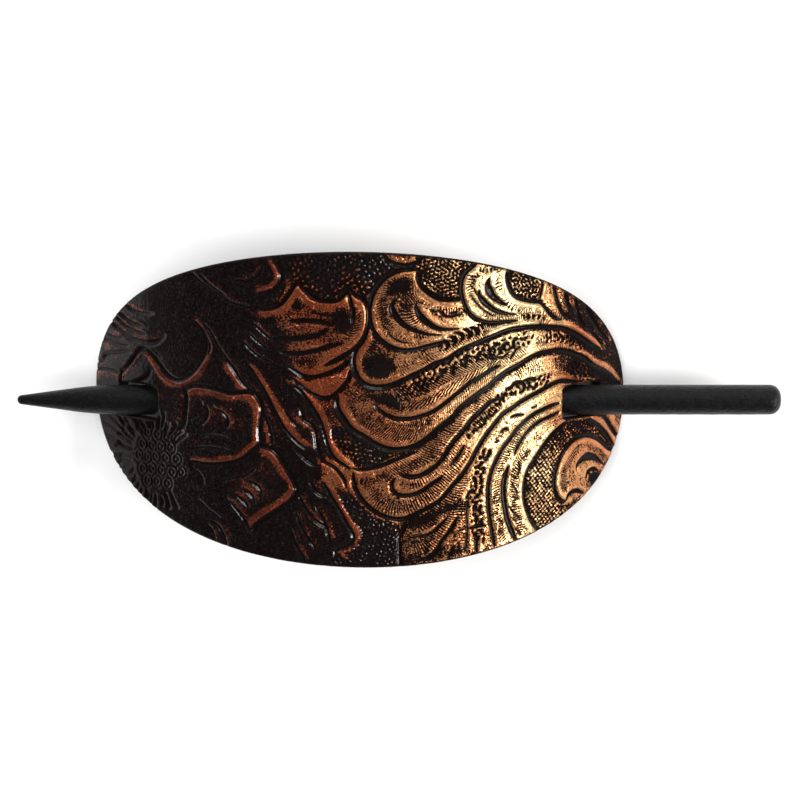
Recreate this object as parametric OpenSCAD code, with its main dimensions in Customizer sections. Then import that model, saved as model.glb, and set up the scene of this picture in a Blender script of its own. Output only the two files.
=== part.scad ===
// Leather hair bun holder: an arched oval of embossed leather with a slot near each end,
// and a wooden stick that passes down through one slot, under the arch and up through the other.
// The oval rests on its two pressed ends. X runs along the stick, +Z is up, in millimetres.

/* [Leather oval] */
// Length of the flat oval, measured along the leather
oval_length = 149; // [146:1:152]
// Width of the flat oval
oval_width = 72; // [56:1:84]
// Turn of the cut oval against the bend, in degrees
oval_turn = -1; // [-3:0.5:3]
// Thickness of the leather
leather_thickness = 2.8; // [2.4:0.1:3]
// Radius of the arch, at the middle of the leather
bend_radius = 71; // [70:0.5:72]
// Bevel worn round both rims of the cut edge
edge_bevel = 0.4; // [0.2:0.1:0.8]
// Height that is pressed flat at each end, where the oval rests
foot_press = 1.2; // [0.8:0.1:1.6]

/* [Slots] */
// Distance along the leather from its middle to the centre of each slot
slot_reach = 56.7; // [56:0.1:57.5]
// Length of each slot, along the leather
slot_length = 13.4; // [13.2:0.1:14]
// Width of each slot
slot_width = 7.8; // [7.6:0.1:9]
// Distance of both slots from the middle of the oval's width
slot_offset = -0.7; // [-2:0.1:2]

/* [Stick] */
// Length of the stick
stick_length = 178; // [170:1:190]
// Diameter of the stick
stick_diameter = 7; // [6.4:0.1:7]
// Length of the tapered point
point_length = 19; // [14:1:26]
// Diameter of the rounded tip
tip_diameter = 2.2; // [1.6:0.1:3]
// Radius round the rim of the blunt end
rim_radius = 2.6; // [1:0.1:3]
// Distance from the middle of the oval to the tip
tip_reach = 79.9; // [78:0.1:90]

/* [Hidden] */

// Points round the oval's outline, a multiple of four
outline_points = 180;
round_fn = 96;

half_length = oval_length / 2;
half_width = oval_width / 2;
outer_radius = bend_radius + leather_thickness / 2;
inner_radius = bend_radius - leather_thickness / 2;

// Height of the oval's lowest points over the centre of the bend, and of the floor
tip_angle = half_length / bend_radius * 180 / PI;
floor_level = inner_radius * cos(tip_angle) + foot_press;

// Each slot is cut square to the leather at its centre, and the stick lies as far
// under the slot's near end as it lies over the far end
slot_angle = slot_reach / bend_radius * 180 / PI;
near_end_level = inner_radius * cos(slot_angle - asin(slot_length / 2 / inner_radius));
far_end_level = outer_radius * cos(slot_angle + asin(slot_length / 2 / outer_radius));
stick_level = (near_end_level + far_end_level) / 2 - floor_level;

// The origin is under the middle of the stick's length, so the oval's middle is off it
oval_x = tip_reach - stick_length / 2;

// A point of the flat oval's outline at angle t, inset from the cut edge
function flat_point(t, inset) =
    let (along = (half_length - inset) * cos(t), across = (half_width - inset) * sin(t))
    [along * cos(oval_turn) - across * sin(oval_turn), along * sin(oval_turn) + across * cos(oval_turn)];

// A flat point carried onto the arch at a radius, with its height over the floor
function bent_point(p, radius) =
    let (angle = p[0] / bend_radius * 180 / PI)
    [oval_x + radius * sin(angle), p[1], radius * cos(angle) - floor_level];

// One closed ring of the wall, round the whole outline
function ring(inset, radius) =
    [for (i = [0 : outline_points - 1]) bent_point(flat_point(i * 360 / outline_points, inset), radius)];

// The two triangles between neighbouring points of a ring and of the next ring in
function band_faces(first, i) =
    let (j = (i + 1) % outline_points, next = first + outline_points)
    [[first + i, next + j, next + i], [first + i, first + j, next + j]];

// Triangles across the oval, between the points at i and the ones facing them
function cap_faces(first) =
    let (half = outline_points / 2)
    [for (i = [0 : half - 1])
        let (a = first + i, b = first + i + 1,
             c = first + outline_points - i - 1, d = first + (outline_points - i) % outline_points)
        each concat(i < half - 1 ? [[a, c, b]] : [], i > 0 ? [[a, d, c]] : [])];

function reversed(faces) = [for (f = faces) [f[2], f[1], f[0]]];

// The bent leather wall, uncut: grain face, bevelled edge and back
module arched_wall() {
    points = concat(
        ring(edge_bevel, outer_radius),
        ring(0, outer_radius - edge_bevel),
        ring(0, inner_radius + edge_bevel),
        ring(edge_bevel, inner_radius));
    sides = [for (band = [0 : 2], i = [0 : outline_points - 1]) each band_faces(band * outline_points, i)];
    grain = cap_faces(0);
    back = reversed(cap_faces(3 * outline_points));
    polyhedron(points = points, faces = concat(grain, sides, back), convexity = 6);
}

// Cutter for the slot at the side given by 1 or -1
module slot_cutter(side) {
    cut_depth = 4 * leather_thickness;
    straight = slot_length - slot_width;
    translate([oval_x, slot_offset, -floor_level])
        rotate([0, side * slot_angle, 0])
            translate([0, 0, bend_radius - cut_depth / 2]) {
                translate([-straight / 2, -slot_width / 2, 0])
                    cube([straight, slot_width, cut_depth]);
                for (end = [-1, 1])
                    translate([end * straight / 2, 0, 0])
                        cylinder(h = cut_depth, d = slot_width, $fn = round_fn);
            }
}

module leather_oval() {
    color([0.32, 0.15, 0.08])
        difference() {
            arched_wall();
            slot_cutter(-1);
            slot_cutter(1);
            translate([-oval_length, -oval_width, -2 * foot_press])
                cube([2 * oval_length, 2 * oval_width, 2 * foot_press]);
        }
}

// Half of the stick's section, turned round its axis: radius along X, length along Y
module stick_section() {
    radius = stick_diameter / 2;
    tip_radius = tip_diameter / 2;
    shaft_end = stick_length - rim_radius;
    polygon([[0, tip_radius], [tip_radius, tip_radius], [radius, point_length],
             [radius, shaft_end], [0, shaft_end]]);
    intersection() {
        translate([0, tip_radius])
            circle(r = tip_radius, $fn = round_fn);
        square([tip_radius, tip_radius]);
    }
    translate([0, shaft_end])
        square([radius - rim_radius, rim_radius]);
    translate([radius - rim_radius, shaft_end])
        intersection() {
            circle(r = rim_radius, $fn = round_fn);
            square([rim_radius, rim_radius]);
        }
}

module stick() {
    color([0.05, 0.05, 0.055])
        translate([-stick_length / 2, slot_offset, stick_level])
            rotate([0, 90, 0])
                rotate_extrude($fn = round_fn)
                    stick_section();
}

leather_oval();
stick();
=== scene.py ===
"""Tooled leather hair bun holder with its painted stick, on a pale floor.

The tooling is worked out as a relief on the flat oval: s runs along the leather and y across it,
both in millimetres from the oval's middle. The flat oval is then carried onto its arch.
"""

import math

import bpy
import numpy as np
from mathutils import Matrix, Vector
from mathutils.geometry import delaunay_2d_cdt


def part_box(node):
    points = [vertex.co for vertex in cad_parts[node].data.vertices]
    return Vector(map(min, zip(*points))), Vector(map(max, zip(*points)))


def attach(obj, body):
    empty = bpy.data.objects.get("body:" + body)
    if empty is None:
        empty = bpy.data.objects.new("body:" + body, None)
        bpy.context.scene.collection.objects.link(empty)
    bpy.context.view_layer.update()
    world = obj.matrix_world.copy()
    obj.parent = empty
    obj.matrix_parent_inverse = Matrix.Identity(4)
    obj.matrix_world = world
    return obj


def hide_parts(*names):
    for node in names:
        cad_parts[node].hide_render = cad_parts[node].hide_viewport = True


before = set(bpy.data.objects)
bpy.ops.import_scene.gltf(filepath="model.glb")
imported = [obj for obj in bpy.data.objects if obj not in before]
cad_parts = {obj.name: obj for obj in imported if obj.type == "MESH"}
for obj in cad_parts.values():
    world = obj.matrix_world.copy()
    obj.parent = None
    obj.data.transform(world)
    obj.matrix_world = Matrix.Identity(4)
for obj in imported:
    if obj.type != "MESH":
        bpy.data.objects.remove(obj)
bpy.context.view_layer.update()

MM = 0.001

# Leather oval, in millimetres, as in the part's source
HALF_LENGTH = 74.5
HALF_WIDTH = 36.0
OVAL_TURN = math.radians(-1)
THICKNESS = 2.8
BEND_RADIUS = 71.0
OUTER_RADIUS = BEND_RADIUS + THICKNESS / 2
INNER_RADIUS = BEND_RADIUS - THICKNESS / 2
FOOT_PRESS = 1.2
FLOOR_LEVEL = INNER_RADIUS * math.cos(HALF_LENGTH / BEND_RADIUS) + FOOT_PRESS
SLOT_REACH = 56.7
SLOT_LENGTH = 13.4
SLOT_WIDTH = 7.8
SLOT_Y = -0.7
SLOT_CORNER = 1.4

# Places in the frame
stick_low, stick_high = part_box("stick")
STICK_RADIUS = (stick_high.z - stick_low.z) / 2 / MM
STICK_START = stick_low.x / MM
STICK_END = stick_high.x / MM
STICK_Y = (stick_low.y + stick_high.y) / 2 / MM
STICK_Z = (stick_low.z + stick_high.z) / 2 / MM
leather_low, leather_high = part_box("leather_oval")
OVAL_X = (leather_low.x + leather_high.x) / 2 / MM


def read_rows(text):
    """Rows of columns, a colon and points. A line with no colon carries on the row above it."""
    rows = []
    for line in text.split("\n"):
        head, colon, rest = line.rpartition(":")
        if colon:
            rows.append((head.split(), []))
        if rest.strip():
            rows[-1][1].extend(read_points(rest))
    return rows


def read_points(text):
    return [tuple(float(number) for number in point.split(",")) for point in text.split()]


# Strokes of the tooling. Columns: groove width in millimetres, kind of its left side, kind of its right side,
# then the points s,y that it runs through, left and right as seen along them. A width such as 2@0.35 swells
# like a crescent, widest at that share of its length. The kinds of side are in SIDES.
UPPER_FLOW = """
1.1 lobe soft: 1.8,19 0.8,16.3 -0.8,14 -1.4,12 -1.2,9.8 -0.2,7.5 1.5,6.1 4,5.6 6.5,5.9 9,6.8 11.5,8 14,9.1
    16.5,10.5 19.5,11.5 22.5,13.3 26.3,14.8 30,16 35,17.5 41,17.8 45,17.5 50,16.8 54,15.3 58,13.2 61,11.6
    63.5,10.7
0.9 plain plain: 58.5,16 60,15 61.5,14 63,12.6 64.5,11
0.8 crisp soft: 27.1,33.4 24,31 23,28.8 23.1,26 24.1,23 25.8,21 28.3,19.8 31,19.4 33.5,19.4 36.8,19.5
2@0.35 crisp plain: 29.7,30 29.3,27.8 30.5,25.5 32.5,24 34.8,22.9
1.5@0.25 crisp plain: 27.3,27.5 27.1,26 28.3,24.3 30.5,22.5 33,21.5 36,21 37.5,20.5
0.4 crisp crisp: 25,26 26.3,24.3 28.3,22.3 30.5,21
0.8 soft lobe: 34.3,31.5 34,29.3 34.8,26.8 36.3,25 39,24 41.5,23.5 43,23.3 44.5,22 45.8,20.5 47.5,19.3
    49.5,18.8
0.7 crisp plain: 44,28.8 43.4,26 43,23.5
1.1 plain plain: 47.2,27.5 47.6,25 48.3,23 49.3,21.2 50.5,19.8 52,18.8
0.9 plain plain: 50.5,25.6 51,23.5 51.6,21.8 52.4,20.2
1.2 plain plain: 54.1,23.6 54.5,21 55,19.3 56,17.6 57.2,16.5 58.3,15.8
1.3 plain plain: 57.2,21.6 58.5,19.8 60,18 61.5,16.5 63,15 64.5,13.8 66.3,12.2
"""
LEAF_TOP = """
0.9 lobe soft: 12.8,32 10,32 7.5,31.3 5.5,30 3.8,28 2.8,26 2.2,23.5 2.3,21 3,18.5 4.5,16.5 6.5,15 9,14
    11.5,13.9 14,14.4 16.5,15 19,15.6
0.9 soft lobe: 12.8,32 12.8,30.3 13.5,28.3 15,26.8 17,25.5 19,25 23.2,25
1.6@0.22 crisp plain: 8,26 7.1,24 7.5,22.3 9,20.3 11,18.8 13.3,17.9 15.5,17.3 19.5,17
1.6@0.25 crisp plain: 12.5,24.8 12.6,23.3 13.5,21.5 15.3,19.8 17.5,18.6 20.3,18.3 23.5,18.6
1.1 lobe plain: 4.6,36.4 5.4,34.9 7.2,33.6 10,33 12.2,33.4 13.7,34.6 14.4,36.2
0.4 crisp crisp: 6,18 7.5,16.6 9.5,15.6 11,15.5
"""
MIDDLE_FLOW = """
1 crisp plain: 3.3,1.5 4.4,0.2 6.2,-1 8.3,-1.7 10.9,-1.8 13.6,-1.3 16.2,-0.4 18.8,1.2 22.5,4 25,5.8 27.5,7
    30,8.5 32.5,9.4
1.2 lobe soft: -4.9,3.5 -5,1 -3.7,-1.5 -1.8,-4 1,-5.8 4,-7.7 7,-8.7 10.2,-8.6 13,-7.7 15.7,-5.9 18.3,-3.8
    20.9,-1.9 22.5,0 25,1.8 27.5,3.5 30,5 32.5,7 35,8.3 37.5,9.3 40,10.5 42.5,11.3 45,11.6 48.8,11.8
    52.5,11 55.5,10 58,8.9 60,7.6 62,6.6 64,5.8 66,4.9 68,3.9 70,2.6 72,1.6
1.1 crisp plain: -1.5,-14 -1.2,-17 0.3,-20 2.8,-22.6 5.2,-24 8,-24.8 10.4,-24.6 13,-23.5 15.7,-22.2
    18.3,-20.6 20.9,-17.7 23.3,-15.1 25.5,-12 27,-9.3 29.1,-6.3 31.2,-3.9 33.3,-1.8 35.8,-0.5 38.2,0.8
    41.2,2 44.2,3.1 47.5,4.2 50,4.5 54,3.8 58,3.2 63,2
1.1 crisp plain: 31.7,1.6 30,1.1 27.6,-0.9 25.5,-2.7 23.3,-5.4 21.5,-7.2 19.9,-9.3 18.3,-11.7 16.2,-13.5
    13.8,-14.8 11.5,-15.2 9.6,-14.8 8.7,-14.2
1 crisp plain: 7.8,-15.4 7.1,-16.7 7.5,-18.3 9.1,-19.3 11.5,-19.3 13.8,-18.5 16.2,-16.9 18.6,-15.4
0.7 crisp plain: 23.9,-8.3 22.3,-10.9 20.4,-13
0.5 soft lobe: -1.7,-13 0.4,-13.5 3,-13.1 5.2,-12.5 7.8,-11.4 10.4,-10.4 13,-9.3
"""
LOWER_FLOW = """
1 plain plain: 49.1,-0.5 46.4,-1 43.6,-1.8 41.2,-2.7 38.8,-4.2 36.7,-6 34.8,-8.1 33,-10.2 31.5,-12.7
    30.3,-15.4 29.7,-18.4 29.7,-21.5 30,-24.8 30.6,-28.1 31.5,-32.5
0.8 plain plain: 49.1,-2.5 46.7,-3.3 44.2,-4 41.8,-5.1 39.4,-6.9 37.9,-8.7 36.4,-11.2
1.3 plain plain: 34.8,-13.9 33.9,-16.6 33.6,-19.6 33.9,-22.7 34.5,-25.7 35.5,-28.4 37,-31.8
0.9 soft crisp: 52.1,-4.8 49.1,-6.3 46.7,-7.8 44.2,-10.2 41.8,-13 40,-15.4 39.1,-18.4 39.1,-22.1 40,-25.1
    41.2,-27.5 42.9,-29.8
0.9 lobe soft: 69,-14.3 66,-12.7 63,-10.8 60,-9.5 57,-9.1 54,-9.7 51,-12 49.1,-14.5 48.1,-17.2 47.9,-19.6
    48.5,-21.5 49.7,-23.3 51.5,-23.9
1 crisp plain: 51.5,-23.6 52.5,-22.4 54,-21.8 55.5,-21.9 57.5,-22.8
2@0.45 crisp plain: 54.9,-17.4 54.9,-16 56,-15 58,-14.2 60,-14.3 62,-15 64,-16.2 65.6,-17.2
0.9 crisp plain: 58.2,-19.3 58.8,-18 60,-17.4 61.3,-17.4 63,-18.2
1.1 lobe soft: 56.8,-4.4 58.5,-5 61,-6.3 63.5,-7.6 66,-9.5 68,-11.3 69.6,-12.9
1.2 crisp plain: 64.5,-4.9 67,-7 69,-9 71.3,-11
0.9 plain plain: 10.4,-25.9 9.6,-27.5 8.8,-29.6 8.8,-32.2 9.1,-36
0.8 crisp plain: 12.5,-28.5 14.4,-28.9 16.5,-28 18.3,-26.4 19.9,-24.8
0.9 crisp plain: 12.5,-34 14.9,-34.3 16.7,-33 18.3,-30.6 20.4,-28 22.3,-24.8
0.8 crisp plain: 19.6,-35.2 21.2,-31.9
0.9 crisp plain: 26.8,-28.7 26.9,-33.6
0.5 crisp plain: 24.8,-20.5 24.4,-24 24.6,-28 24.2,-33
"""
LEAF_CENTRE = """
0.9 soft lobe: -23.5,22.6 -20,23 -17.5,24.2 -15.5,26.8 -14,28.9 -12.5,27.5 -10,25.4 -7,24.9 -4.5,25.4
    -2.5,27.6 -1,26.3 0.8,25.2 1.7,23 1.7,20 0.8,17 -1,14.6 -3.5,12.9 -8,10.3
1 crisp soft: -16.5,10.2 -14.5,9 -12.5,7.9 -10,7.8 -7,8.7 -4.5,10 -2.2,11.8
1.3 plain plain: -20,16.3 -16,16.3 -12,16.7 -9.5,17.3 -7.5,18.6
1.1 plain plain: -16,20.3 -12,20.5 -9,20.3 -6,19.6
1.1 plain plain: -18,13.2 -14,13 -10.5,13.6 -7,14.7 -4,15.5
0.8 soft lobe: -2.3,9.5 -2.7,7.4 -4.3,5.3 -6,3.7 -8,3.1 -10.5,3.9 -13,5.6 -15,7.3
1 plain plain: -2.6,27.2 -2,24.5 -1.5,21.5 -1.6,19.5
"""
STEMS = """
0.9 lobe soft: -25.3,10 -24,8 -22,5 -20.3,2 -19,-0.5 -17,-4 -15,-6.4 -13,-8 -11.5,-8.8
0.9 soft lobe: -31,11 -29,8.5 -26.8,5.5 -24.3,3.6 -22.8,1.5 -21.6,-1.5 -20.4,-4.5 -19.7,-8.5
0.9 lobe soft: -15.5,5.9 -13.4,4.6 -11.6,2.4 -10,0 -8.7,-2.6 -7.8,-5.5 -7,-8.5 -5.8,-10.6 -3.8,-12.2
    -2,-13.2
0.8 plain crisp: -13.4,0.5 -12.6,-2 -10.6,-3.4 -9.9,-6 -9.5,-9 -8,-11.5 -5.5,-13 -3.6,-15.5 -3,-17.5
0.8 crisp plain: -16.9,0 -16,-1.3 -15.2,-2.5 -14.3,-3.3 -13.2,-3.6
0.9 crisp plain: -15.1,-7.9 -14,-9.2 -12.5,-10.7 -11,-11.9 -9.2,-12.7
0.9 crisp plain: -11.6,-15.6 -10.5,-17.5 -9.2,-18.9 -6.8,-19.8
0.9 crisp plain: -14.2,-18.5 -13,-21 -11.5,-23.5 -9.5,-25.5 -7,-27
0.8 crisp plain: -14.5,-23 -13.5,-26 -12,-29 -10,-31.5
0.8 crisp plain: -15.5,-27 -14.8,-30 -13.2,-33 -12,-35
0.9 lobe soft: -8.3,-16.2 -6.4,-19.6 -4.6,-22.6 -3,-25.6 -1.5,-28.3 -1.6,-29.8 -3,-31 -4.6,-31.6
    -5.6,-32.4 -4.6,-33.4 -3,-35.2
0.8 crisp plain: -10,-21.5 -8.5,-24.5 -7.3,-27.5 -6.6,-30
0.9 crisp plain: -5.4,3 -5,1 -3.6,-1.3 -2.4,-2.8
0.9 crisp plain: -38.8,18.8 -37,17.4 -35.8,15.6 -35,13.6 -35.3,11.8
0.8 crisp soft: -36.4,18.8 -34.7,16.7 -33.2,14.3 -31.5,12 -29.6,9.8
0.7 crisp plain: -30,10.5 -28.8,8.9 -27.5,7.4
"""
LEAF_LEFT_TOP = """
1 lobe soft: -23.5,26.4 -20.8,26.7 -18.8,27.9 -17.8,29.6 -17.8,31.4 -18.6,33 -20,34.8
0.7 crisp plain: -40,30.6 -38,28.9 -36,27.6 -34,26.5 -32,25.4 -30,24.3 -28,23.6 -25,23.4
0.5 crisp plain: -37.5,30.2 -35.5,28.4 -33,26.8 -30.5,25.4
0.8 crisp plain: -29,29.2 -26,29 -23.8,29.8 -22.4,31.3 -21.8,33.2
0.6 crisp plain: -24.5,20 -22.5,18 -20.5,16.4 -18,15.2
0.6 crisp plain: -25.5,17.5 -23,15.3 -20.5,13.7
0.6 crisp plain: -27,15.6 -24.5,13.2 -22,11.6 -19,10.6
"""
FLOWER = """
1 lobe soft: -40.8,-13.2 -36,-13.6 -31,-13 -27.5,-11.9 -24.6,-9.6 -23,-8 -23,-5 -22.6,-2 -22.4,0.4
    -23.3,2.6 -25,3.7 -28,3.4 -30,3.2 -33,3.8 -37,4.3 -40,4.2 -41.8,2.8
1.1 plain plain: -41.8,3.9 -41.5,1 -41.9,-2 -42.2,-4.6 -43.4,-6.6
0.9 crisp plain: -36.2,0.2 -35.7,-1.3 -36.2,-3 -37.4,-4.6
0.9 crisp plain: -33,-0.6 -31.3,-1.7 -30.4,-3.3 -30.8,-5
0.6 plain plain: -38.5,-7.5 -34,-6.8 -30,-7.4
0.6 plain plain: -39.5,-10 -35,-9.6 -30,-10
1 lobe soft: -25.6,-28.6 -23.6,-26.5 -20.5,-24.2 -17.5,-22.1 -15.4,-20.4 -14.3,-18.4 -14.9,-16.6 -16,-14.6
    -17.3,-12.4 -18.8,-10.2 -20.4,-9 -22.6,-8.8
1 crisp plain: -28.8,-20 -27.5,-20.9 -26.2,-22 -25.6,-23.4
1 crisp plain: -27.5,-18.6 -25.8,-19.2 -24.6,-20.4 -24,-22
1 crisp plain: -26,-16.8 -24.2,-17.3 -22.8,-18.4 -22.2,-20
1 crisp plain: -30.4,-21.6 -28.8,-23 -27.3,-24.7 -26,-26.6 -25.2,-29
0.9 crisp plain: -34.4,-26.6 -33,-28 -32,-29.6 -30.8,-32.4
0.9 crisp plain: -35.9,-27.6 -34.8,-29 -33.8,-31.2
0.6 plain plain: -40,-14.8 -37.8,-16.2 -36.8,-18.5
0.7 plain plain: -38.5,-22 -35.5,-24.4 -32.5,-25.8
0.7 plain plain: -33,-17.4 -29.5,-16.4 -26,-15.4 -23.5,-13.4
1.1 lobe soft: -39,19.4 -36.9,16.8 -35.9,13.6 -36.8,11 -38.7,8.4 -41.2,6.2 -43.8,5.2 -46.2,5.7 -48.4,7.1
    -50.4,9.4 -52.4,10.9
1 plain crisp: -62.9,2.2 -62.8,5 -61.4,6.2 -59.4,7.7 -57.6,9.5 -56,11 -54.2,11.6 -52.4,10.9 -50.4,9.2
    -48.8,7.6
0.8 plain plain: -58,3.2 -55.6,4 -53.6,5 -52,6.8
0.8 plain crisp: -74,4.8 -70,5.2 -66.4,5.2 -63,5
0.9 plain plain: -73.5,6.6 -71,7.2 -69.3,8.7 -67,9.5 -64,9.9 -61,10.5 -58.5,10.4
0.8 plain plain: -70.5,12 -67.5,12.4 -64.5,11.8 -61.5,11.6 -59.5,12
0.6 crisp plain: -68,13.8 -65,13.3 -61.5,13.6
1.2 crisp plain: -67,17 -64,15.8 -62,14.9 -60,14.2 -58,13.6 -55,13.2 -52,13.2 -49.5,14 -47.5,15.4
0.8 crisp plain: -65,18.4 -62,17 -59.5,16 -56.5,15.3 -53.5,15
0.8 crisp plain: -63.4,19.6 -60.5,18.2 -57.5,17.2 -54.5,16.8
0.6 crisp plain: -60.8,21.6 -57.8,20.4 -54.5,20 -51,20.2
"""

# Small dark marks. Columns: width, then points
CURLS_UPPER = """
0.55: 28.2,13.2 27.4,12.7 26.8,11.9 27.1,11.3 27.8,10.9
0.6: 30.7,13.9 30.1,13.2 29.8,12.5 30.2,12 31,11.9
0.65: 34.3,14.7 33.5,14.3 32.9,13.5 32.3,12.6 33.1,12.4
0.55: 37.2,15.3 36.2,15.1 35.8,14.5 36,13.9 35.3,13.3 34.6,13
0.5: 39.1,15.6 38.5,15.1 37.7,15
0.35: 30.8,14.8 31.5,13.6
0.35: 31.1,11.7 32.4,11.3 33.5,11.5 34.7,12.5
0.4: 28.9,11.5 30.1,11.3 31.5,11
0.35: 37.6,13.7 36.5,12.7 35,10.8
0.5: 24.9,13.7 23.8,13.3
0.6: 24.4,11.2 23.8,10.3 24.1,9.5
0.4: 25,11.8 23.3,11.5
0.9: 21.3,10.2 20.9,9 21.2,7.9
0.8: 19.1,9.4 18.4,8.5 18.2,7.5
0.5: 20.4,11.4 19.3,10.5
0.5: 41.4,16 40.7,15.1
"""
CURLS_LOWER = """
0.6: 34.7,3.6 35.5,4.4 36.4,5.1 37.8,5.2 38.8,4.5 38.8,3.6 37.8,2.8
0.5: 35.8,2.5 36.5,3
0.5: 38.5,5.5 39.5,5.7 40.7,5.8 42,6
0.45: 39.4,5.1 40.3,4.3 39.8,3.3
0.55: 42.6,4.9 42.2,4.1 41.1,3.3
0.4: 43.9,6.3 43.2,6.1 42.5,5.5
0.5: 45.8,5.2 45.1,4.4 44.1,3.6
0.6: 31.9,2.9 32.3,1.8 33.2,2 33.9,3.2
0.7: 29.1,-1.8 29.6,-2.7
0.5: 27.7,-2.2 28.5,-3.1
0.5: 26.1,-4.4 27,-5.3
0.5: 24.3,-5.8 24.9,-7
0.4: 35.1,-2.6 36.9,-2.3 38.9,-2.3
0.3: 40.7,-0.9 42.6,-0.7
0.45: 32.7,-6 33.6,-5.3 34.8,-5.4
0.45: 31.3,-8.2 32.3,-7.7
"""
TICKS = """
0.35: 27.4,32 27.3,31.1
0.35: 28.2,31.9 28,30.8
0.35: 29,31.9 28.9,30.8
0.5: 30.1,32.2 30,30.9
0.4: 31.1,32.2 30.8,31.2
0.35: 26.4,30.8 26.9,30.1
0.35: 25.9,30.3 26.5,29.8
0.35: 25.4,29.6 26.3,28.9
0.35: 25.2,28.9 26,28.3
0.35: 24.9,28.1 25.7,27.6
0.4: 25.9,27.4 26.5,26
0.5: 17.6,22.6 19.5,21.2
0.4: 19.9,21.9 22.1,22.2
0.35: 18.3,21.5 20.5,21.2 23.1,21.7
0.5: 15.5,22.9 16.9,22.3
"""
BLOBS = """
0.9: 30.2,-9.9 29.7,-10.8 29.4,-11.6
0.6: 28.4,-11.2 28.7,-12.2
0.7: 28,-12.9 27.3,-13.4 26.4,-13.5
0.5: 28.7,-13.8 28.2,-15.2
0.5: 26.5,-16.2 25.9,-16.9
0.9: 27.6,-17 28.1,-17.2
0.8: 27.4,-19.9 26.2,-20.9
0.8: 26.7,-22.6 26.5,-23.8
0.7: 27.1,-26 27.6,-26.5
0.6: 25.1,-27.6 27.1,-27.3 29.1,-27.3
0.9: 26.5,-28.9 26.7,-30.5
0.5: 26,-18.5 24.9,-19.5 24.3,-20.8
0.5: 24.3,-22.3 25.2,-22.7
0.2: 35.4,-17.9 36.4,-19.1 37.3,-21.1
0.35: 35.7,-16.4 37,-17.1
0.25: 35,-23.3 36.1,-24.8 38.6,-26.9
0.2: 35.8,-26 37.1,-27.3
0.3: 36.7,-28.7 38.3,-30.3
0.2: 35.4,-21 37.9,-21.9
0.3: 37.3,-12.9 37.8,-14.3 37.2,-16.6
0.25: 40.9,-10.7 38.9,-11.6
"""
# Small raised marks that catch the light, in the same columns
GLINTS = """
0.35: -23.3,19.7 -22.2,18.6
0.35: -21.6,19.3 -21,18.4
0.35: -20.2,19.2 -19.5,18.8
0.4: -18.4,19.1 -17.3,18.4
0.4: -16.3,19.1 -15.8,18.6
0.4: -14.7,19.9 -14,19.1
0.4: -23.6,8.2 -22,5.9 -20,2.7 -18.4,-0.4 -16.6,-3.6
0.4: -15,6.4 -13,4.9 -11.2,2.6 -9.5,-0.2
0.4: -18.2,0.9 -16.4,-1.2 -14.4,-3.1
0.4: -17.4,-3.4 -15.2,-6 -12.6,-7.9
0.4: -12,-14.6 -11,-16.6 -9.6,-18.4
0.4: -14.8,-17.6 -13.4,-20.4 -11.8,-23
0.35: -33.6,0.2 -31.6,-1 -30.2,-3
0.35: -36.6,0.8 -36,-0.8
0.4: -30.2,-20.8 -28.4,-22.4 -26.8,-24.2 -25.6,-26.2
0.35: -28.4,-19.4 -26.8,-20.6
0.35: -27,-18 -25.4,-18.8
"""

# Small marks are cut this much wider than they were read
MARK_WIDENING = 1.5
MARK_MARGIN = 0.1


def read_strokes(strokes, marks):
    """Every stroke as width, place of its widest point or None, kinds of its two sides, and points."""
    rows = []
    for (width, left, right), points in read_rows(strokes):
        widest, _, place = width.partition("@")
        rows.append((float(widest), float(place) if place else None, left, right, points))
    for (width,), points in read_rows(marks):
        rows.append((MARK_WIDENING * float(width) + MARK_MARGIN, None, "bare", "bare", points))
    return rows


STROKES = read_strokes(
    UPPER_FLOW + LEAF_TOP + MIDDLE_FLOW + LOWER_FLOW + LEAF_CENTRE + STEMS + LEAF_LEFT_TOP + FLOWER,
    CURLS_UPPER + CURLS_LOWER + TICKS + BLOBS)

# What each side of a stroke is like: (reach of the pressed slope, rim height, copper on the rim, fringe of
# fine marks behind the rim)
SIDES = {
    "lobe": (0.25, 0.15, 0.6, 1.0),
    "crisp": (0.25, 0.12, 0.2, 0.0),
    "plain": (0.5, 0.06, 0.0, 0.0),
    "soft": (1.3, 0.0, 0.0, 0.0),
    "bare": (0.0, 0.0, 0.0, 0.0),
}

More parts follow.
